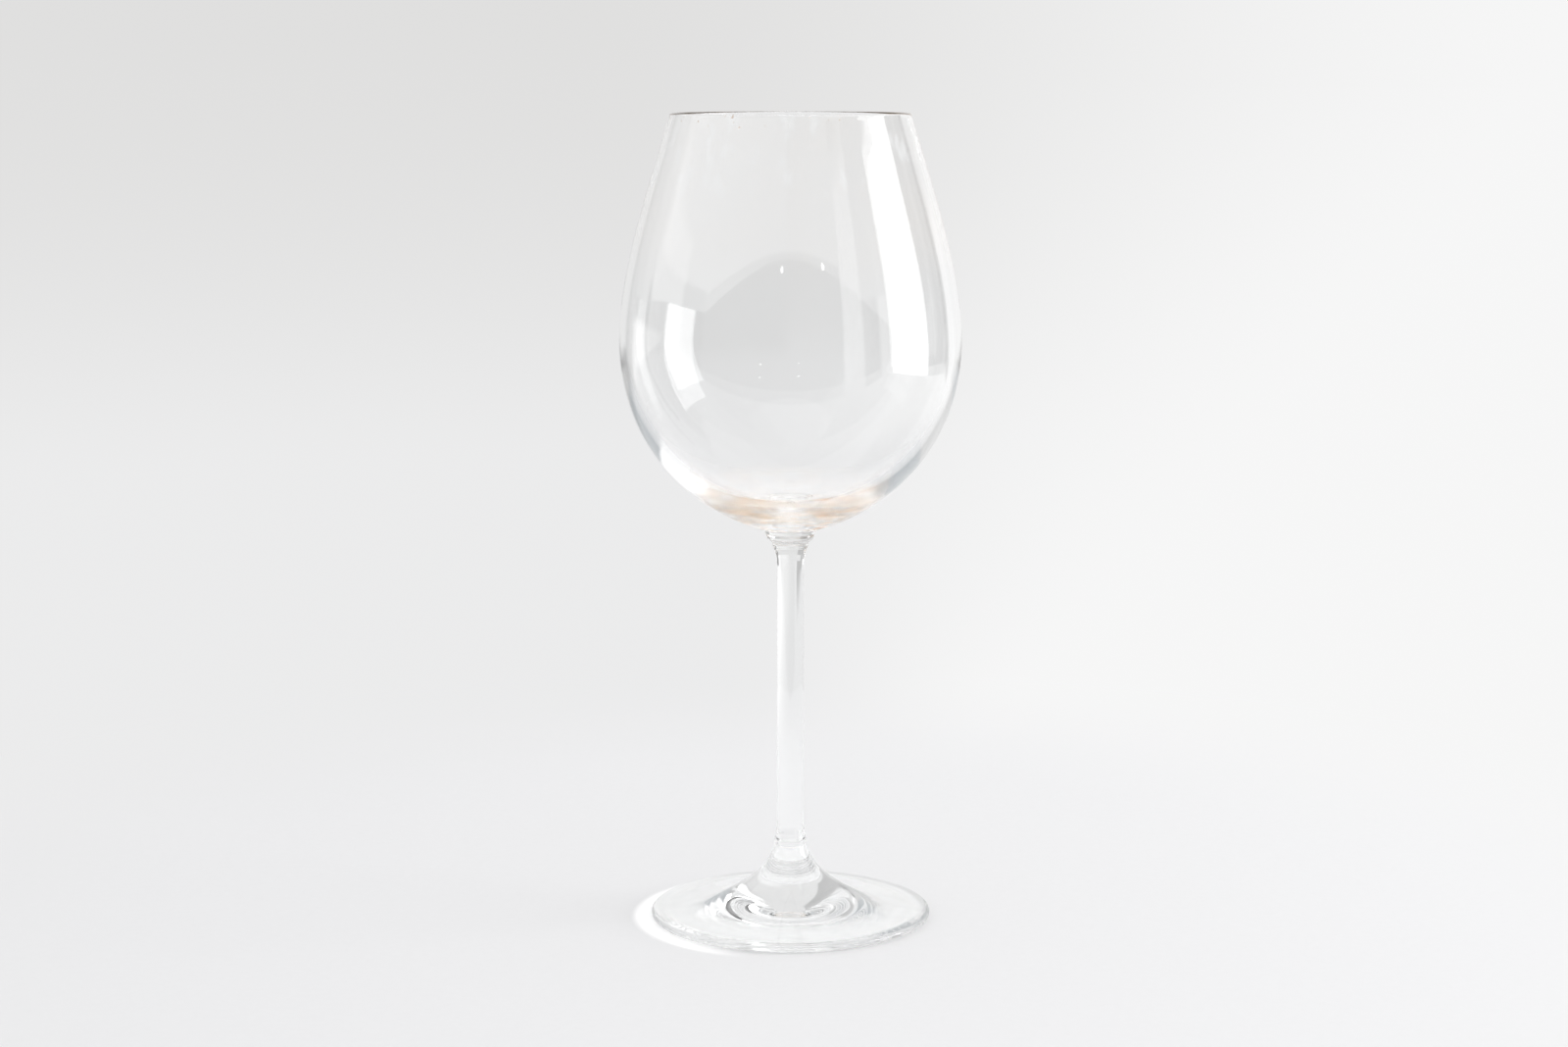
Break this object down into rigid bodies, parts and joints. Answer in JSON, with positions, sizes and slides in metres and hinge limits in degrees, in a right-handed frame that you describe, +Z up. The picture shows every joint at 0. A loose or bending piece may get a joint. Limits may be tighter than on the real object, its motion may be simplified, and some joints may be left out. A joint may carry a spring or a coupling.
{
  "type": "wine glass",
  "caption": "Stemmed clear wine glass: tapered thin-walled bowl with a heavy bottom, wafer collars, slim solid stem and a round hollowed foot.",
  "frame": {"origin": "centre of the flat ring that the foot stands on", "axes": "+Z up along the axis of the stem and bowl; X and Y are free, since the glass is round"},
  "size_m": [0.0944, 0.0944, 0.225],
  "materials": {
    "bowl_glass": "clear blown glass, polished",
    "solid_glass": "clear drawn and pressed glass, polished"
  },
  "bodies": {
    "root": {"bowl": "bowl_glass", "bowl_collar": "solid_glass", "stem": "solid_glass", "foot_collar": "solid_glass", "foot": "solid_glass"}
  },
  "joints": []
}
